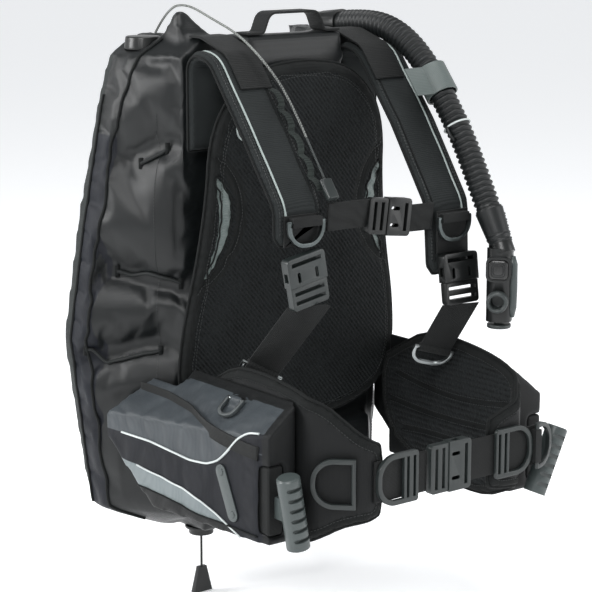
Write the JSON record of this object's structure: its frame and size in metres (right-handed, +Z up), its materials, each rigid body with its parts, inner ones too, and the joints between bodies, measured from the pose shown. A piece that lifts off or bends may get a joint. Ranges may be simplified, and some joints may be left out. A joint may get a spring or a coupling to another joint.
{
  "type": "buoyancy compensator vest",
  "caption": "Back-inflation diving vest with air cell, padded back, shoulder harness, waist belt, weight pockets, buckles, and an inflator on a corrugated hose.",
  "frame": {"origin": "centre of the tank band, on the axis of the tank it closes on", "axes": "+Z up along the tank, -Y towards the wearer's front, +X towards the wearer's left"},
  "size_m": [0.492, 0.5267, 0.7605],
  "materials": {
    "badge_metal": "brushed",
    "black_plastic": "matte",
    "buckle_plastic": "satin",
    "button_rubber": "satin",
    "coated_fabric": "matte",
    "cord": "matte",
    "handle_plastic": "satin",
    "hose_rubber": "satin",
    "keeper_band": "matte",
    "lead_pouch": "matte",
    "pad_mesh": "matte",
    "plate_plastic": "matte",
    "pocket_fabric": "satin",
    "ring_steel": "brushed",
    "strap_fabric": "matte",
    "webbing": "matte"
  },
  "bodies": {
    "harness": {"air_cell": "coated_fabric", "back_pad": "pad_mesh", "backplate": "plate_plastic", "badge_plate_left": "badge_metal", "badge_plate_right": "badge_metal", "belt_left": "webbing", "belt_right": "webbing", "belt_slide_left": "buckle_plastic", "belt_slide_right": "buckle_plastic", "cam_buckle_body": "black_plastic", "cargo_pocket_left": "pocket_fabric", "cargo_pocket_right": "pocket_fabric", "carry_handle": "webbing", "collar_webbing_left": "webbing", "collar_webbing_right": "webbing", "corrugated_hose": "hose_rubber", "hose_elbow": "black_plastic", "hose_guard": "hose_rubber", "hose_keeper": "keeper_band", "inflator_body": "buckle_plastic", "lower_dump_valve": "black_plastic", "lower_strap_left": "webbing", "lower_strap_right": "webbing", "mouthpiece": "hose_rubber", "shoulder_dump_cord": "cord", "shoulder_dump_valve": "black_plastic", "shoulder_pad_left": "strap_fabric", "shoulder_pad_right": "strap_fabric", "shoulder_socket_left": "black_plastic", "shoulder_socket_right": "black_plastic", "shoulder_web_left": "webbing", "shoulder_web_right": "webbing", "sternum_socket": "black_plastic", "sternum_strap_left": "webbing", "sternum_strap_right": "webbing", "tank_band": "webbing", "waist_lobe_left": "pad_mesh", "waist_lobe_right": "pad_mesh", "waist_socket": "buckle_plastic"},
    "cam_lever": {"cam_buckle_lever": "black_plastic"},
    "shoulder_ring_right": {"shoulder_ring_right": "ring_steel"},
    "lower_ring_right": {"lower_ring_right": "ring_steel"},
    "shoulder_ring_left": {"shoulder_ring_left": "ring_steel"},
    "lower_ring_left": {"lower_ring_left": "ring_steel"},
    "pocket_ring_right": {"pocket_ring_right": "ring_steel"},
    "pocket_ring_left": {"pocket_ring_left": "ring_steel"},
    "belt_ring_right": {"belt_ring_right": "buckle_plastic"},
    "belt_ring_left": {"belt_ring_left": "buckle_plastic"},
    "shoulder_plug_right": {"shoulder_plug_right": "buckle_plastic"},
    "shoulder_plug_left": {"shoulder_plug_left": "buckle_plastic"},
    "waist_plug": {"waist_plug": "black_plastic"},
    "sternum_plug": {"sternum_plug": "black_plastic"},
    "weight_right": {"weight_pouch_right": "lead_pouch", "pouch_handle_right": "handle_plastic"},
    "weight_left": {"weight_pouch_left": "lead_pouch", "pouch_handle_left": "handle_plastic"},
    "inflate_button": {"inflate_button": "button_rubber"},
    "deflate_button": {"deflate_button": "hose_rubber"},
    "shoulder_pull": {"shoulder_dump_knob": "black_plastic"},
    "lower_pull": {"lower_dump_knob": "black_plastic"}
  },
  "joints": [
    {"name": "cam_lever_hinge", "type": "hinge", "parent": "harness", "child": "cam_lever", "pos_m": [-0.026, 0.108, 0], "axis": [0, 0, 1], "range_deg": [0, 110]},
    {"name": "shoulder_ring_right_hinge", "type": "hinge", "parent": "harness", "child": "shoulder_ring_right", "pos_m": [-0.112, -0.2903, 0.134], "axis": [-1, 0, 0], "range_deg": [0, 120]},
    {"name": "lower_ring_right_hinge", "type": "hinge", "parent": "harness", "child": "lower_ring_right", "pos_m": [-0.118, -0.212, -0.058], "axis": [-0.786, 0.4168, 0.4565], "range_deg": [0, 35]},
    {"name": "shoulder_ring_left_hinge", "type": "hinge", "parent": "harness", "child": "shoulder_ring_left", "pos_m": [0.112, -0.3013, 0.118], "axis": [-1, 0, 0], "range_deg": [0, 120]},
    {"name": "lower_ring_left_hinge", "type": "hinge", "parent": "harness", "child": "lower_ring_left", "pos_m": [0.118, -0.262, -0.058], "axis": [-0.9015, 0.3528, 0.2506], "range_deg": [0, 60]},
    {"name": "pocket_ring_right_hinge", "type": "hinge", "parent": "harness", "child": "pocket_ring_right", "pos_m": [-0.18061, -0.244, -0.07837], "axis": [0, 1, 0], "range_deg": [0, 110]},
    {"name": "pocket_ring_left_hinge", "type": "hinge", "parent": "harness", "child": "pocket_ring_left", "pos_m": [0.18061, -0.244, -0.07837], "axis": [0, -1, 0], "range_deg": [0, 110]},
    {"name": "belt_ring_right_hinge", "type": "hinge", "parent": "harness", "child": "belt_ring_right", "pos_m": [-0.1241, -0.3943, -0.158], "axis": [0, 0, 1], "range_deg": [0, 110]},
    {"name": "belt_ring_left_hinge", "type": "hinge", "parent": "harness", "child": "belt_ring_left", "pos_m": [0.156, -0.4104, -0.158], "axis": [0, 0, -1], "range_deg": [0, 95]},
    {"name": "shoulder_plug_right_slide", "type": "slide", "parent": "harness", "child": "shoulder_plug_right", "axis": [0.1807, 0, -0.9835], "range_m": [0, 0.018], "deforming": ["lower_strap_right"]},
    {"name": "shoulder_plug_left_slide", "type": "slide", "parent": "harness", "child": "shoulder_plug_left", "axis": [0, -0.1302, -0.9915], "range_m": [0, 0.018], "deforming": ["lower_strap_left"]},
    {"name": "waist_plug_slide", "type": "slide", "parent": "harness", "child": "waist_plug", "axis": [-1, 0, 0], "range_m": [0, 0.018], "deforming": ["belt_right"]},
    {"name": "sternum_plug_slide", "type": "slide", "parent": "harness", "child": "sternum_plug", "axis": [-0.9921, 0.0434, 0.1178], "range_m": [0, 0.018], "deforming": ["sternum_strap_right"]},
    {"name": "weight_right_slide", "type": "slide", "parent": "harness", "child": "weight_right", "axis": [0, -1, 0], "range_m": [0, 0.19]},
    {"name": "weight_left_slide", "type": "slide", "parent": "harness", "child": "weight_left", "axis": [0, -1, 0], "range_m": [0, 0.19]},
    {"name": "inflate_button_press", "type": "slide", "parent": "harness", "child": "inflate_button", "axis": [0.7659, 0.6429, 0], "range_m": [0, 0.003], "stiffness_N_per_m": 600},
    {"name": "deflate_button_press", "type": "slide", "parent": "harness", "child": "deflate_button", "axis": [0, 0, 1], "range_m": [0, 0.004], "stiffness_N_per_m": 600},
    {"name": "shoulder_dump_pull", "type": "slide", "parent": "harness", "child": "shoulder_pull", "axis": [0, -0.6031, -0.7977], "range_m": [0, 0.015], "stiffness_N_per_m": 300},
    {"name": "lower_dump_pull", "type": "slide", "parent": "harness", "child": "lower_pull", "axis": [0, 0, -1], "range_m": [0, 0.015], "stiffness_N_per_m": 300}
  ]
}
